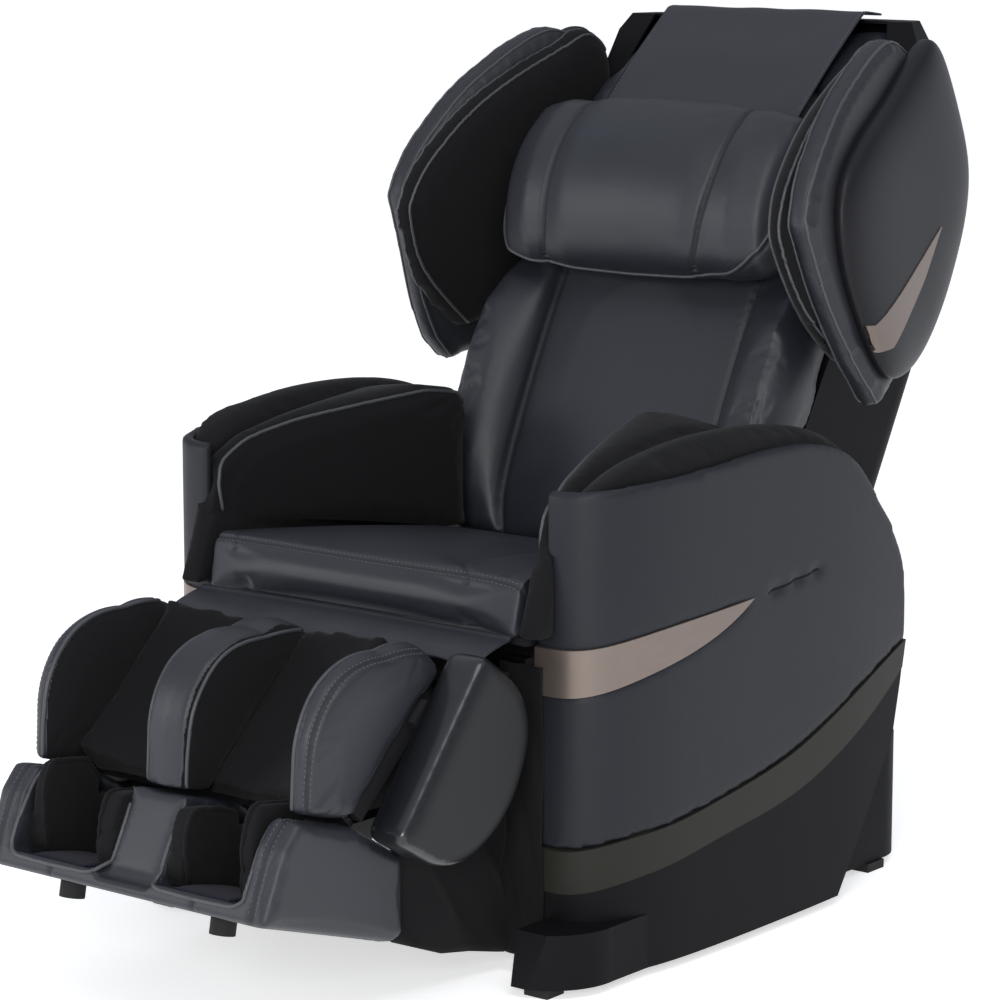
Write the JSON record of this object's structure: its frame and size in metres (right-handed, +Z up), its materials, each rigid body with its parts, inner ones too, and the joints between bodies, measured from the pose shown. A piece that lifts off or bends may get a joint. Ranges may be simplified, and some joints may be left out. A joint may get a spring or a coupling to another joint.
{
  "type": "massage chair",
  "caption": "Reclining upholstered massage chair with side wings at the head, padded arms, a calf rest and a sliding foot rest.",
  "frame": {"origin": "middle of the bounding box's footprint, on the floor", "axes": "+Z up, -Y towards the front where the feet rest, +X to the sitter's left"},
  "size_m": [0.778, 1.4457, 1.1663],
  "materials": {
    "frame_steel": "satin",
    "bright_steel": "satin",
    "motor_black": "matte",
    "box_grey": "matte",
    "side_leather": "satin",
    "seat_leather": "satin",
    "black_cloth": "matte",
    "sole_fabric": "matte",
    "wing_leather": "satin",
    "wing_plastic": "satin",
    "shell_black": "matte",
    "band_olive": "satin",
    "bronze": "satin",
    "box_gloss": "gloss",
    "roller_plastic": "satin",
    "foot_rubber": "matte",
    "inlet_black": "matte"
  },
  "bodies": {
    "base": {"base_frame": "frame_steel", "floor_feet": "foot_rubber", "seat_cushion": "seat_leather", "seat_front_strip": "seat_leather", "rear_cover": "shell_black", "power_inlet": "inlet_black", "control_box": "box_grey", "air_pump": "motor_black", "leg_skirt": "black_cloth", "recline_motor": "motor_black", "legrest_motor": "motor_black", "side_panel_left": "side_leather", "side_panel_right": "side_leather", "side_trim_left": "bronze", "side_trim_right": "bronze", "side_band_left": "band_olive", "side_band_right": "band_olive", "plinth_left": "shell_black", "plinth_right": "shell_black", "arm_top_left": "black_cloth", "arm_top_right": "black_cloth", "arm_pad_left": "black_cloth", "arm_pad_right": "black_cloth"},
    "back": {"back_frame": "frame_steel", "back_shell": "shell_black", "back_cushion": "seat_leather", "lift_screw": "bright_steel", "wing_shell_left": "wing_plastic", "wing_shell_right": "wing_plastic", "wing_accent_left": "bronze", "wing_accent_right": "bronze", "wing_pad_left": "wing_leather", "wing_pad_right": "wing_leather", "wing_inner_left": "black_cloth", "wing_inner_right": "black_cloth"},
    "pillow": {"pillow": "seat_leather", "head_flap": "seat_leather"},
    "carriage": {"carriage": "frame_steel", "knead_motor": "motor_black"},
    "shaft": {"drive_shaft": "bright_steel"},
    "roller_arm_left": {"roller_arm_left": "roller_plastic"},
    "roller_arm_right": {"roller_arm_right": "roller_plastic"},
    "roller_upper_left": {"roller_upper_left": "roller_plastic"},
    "roller_upper_right": {"roller_upper_right": "roller_plastic"},
    "roller_lower_left": {"roller_lower_left": "roller_plastic"},
    "roller_lower_right": {"roller_lower_right": "roller_plastic"},
    "recline_rod": {"recline_rod": "bright_steel"},
    "legrest_rod": {"legrest_rod": "bright_steel"},
    "calf": {"calf_frame": "frame_steel", "calf_center_pad": "seat_leather", "calf_lining": "black_cloth", "calf_pad_left": "seat_leather", "calf_pad_right": "seat_leather", "calf_box_left": "box_gloss", "calf_box_right": "box_gloss"},
    "foot": {"foot_shell": "seat_leather", "foot_lining": "black_cloth", "sole_cloth": "sole_fabric", "slide_rods": "bright_steel", "foot_bumpers": "foot_rubber"}
  },
  "joints": [
    {"name": "recline", "type": "hinge", "parent": "base", "child": "back", "pos_m": [0, 0.189, 0.425], "axis": [-1, 0, 0], "range_deg": [0, 45]},
    {"name": "leg_rest_swing", "type": "hinge", "parent": "base", "child": "calf", "pos_m": [0, -0.301, 0.37], "axis": [-1, 0, 0], "range_deg": [-20, 45], "deforming": ["leg_skirt", "seat_front_strip"]},
    {"name": "foot_slide", "type": "slide", "parent": "calf", "child": "foot", "axis": [0, -0.7408, -0.6717], "range_m": [0, 0.12], "deforming": ["leg_skirt"]},
    {"name": "pillow_flip", "type": "hinge", "parent": "back", "child": "pillow", "pos_m": [0, 0.65661, 1.1595], "axis": [-1, 0, 0], "range_deg": [0, 90]},
    {"name": "carriage_lift", "type": "slide", "parent": "back", "child": "carriage", "axis": [0, 0.4493, 0.8934], "range_m": [-0.22, 0.15]},
    {"name": "shaft_spin", "type": "hinge", "parent": "carriage", "child": "shaft", "pos_m": [0, 0.50275, 0.769], "axis": [1, 0, 0], "continuous": true},
    {"name": "recline_rod_slide", "type": "slide", "parent": "base", "child": "recline_rod", "axis": [0, -1, 0], "range_m": [0, 0.07]},
    {"name": "leg_rest_rod_slide", "type": "slide", "parent": "base", "child": "legrest_rod", "axis": [0, -1, 0], "range_m": [-0.027, 0.061]},
    {"name": "roller_arm_rock_left", "type": "hinge", "parent": "carriage", "child": "roller_arm_left", "pos_m": [0.088, 0.50275, 0.769], "axis": [1, 0, 0], "range_deg": [-8, 8]},
    {"name": "roller_spin_upper_left", "type": "hinge", "parent": "roller_arm_left", "child": "roller_upper_left", "pos_m": [0.105, 0.51902, 0.84364], "axis": [1, 0, 0], "continuous": true},
    {"name": "roller_spin_lower_left", "type": "hinge", "parent": "roller_arm_left", "child": "roller_lower_left", "pos_m": [0.105, 0.45252, 0.71143], "axis": [1, 0, 0], "continuous": true},
    {"name": "roller_arm_rock_right", "type": "hinge", "parent": "carriage", "child": "roller_arm_right", "pos_m": [-0.088, 0.50275, 0.769], "axis": [1, 0, 0], "range_deg": [-8, 8]},
    {"name": "roller_spin_upper_right", "type": "hinge", "parent": "roller_arm_right", "child": "roller_upper_right", "pos_m": [-0.105, 0.51902, 0.84364], "axis": [1, 0, 0], "continuous": true},
    {"name": "roller_spin_lower_right", "type": "hinge", "parent": "roller_arm_right", "child": "roller_lower_right", "pos_m": [-0.105, 0.45252, 0.71143], "axis": [1, 0, 0], "continuous": true}
  ],
  "couplings": [
    {"joint": "recline_rod_slide", "follows": "recline", "m_per_rad": 0.0877},
    {"joint": "leg_rest_rod_slide", "follows": "leg_rest_swing", "m_per_rad": 0.0758}
  ]
}
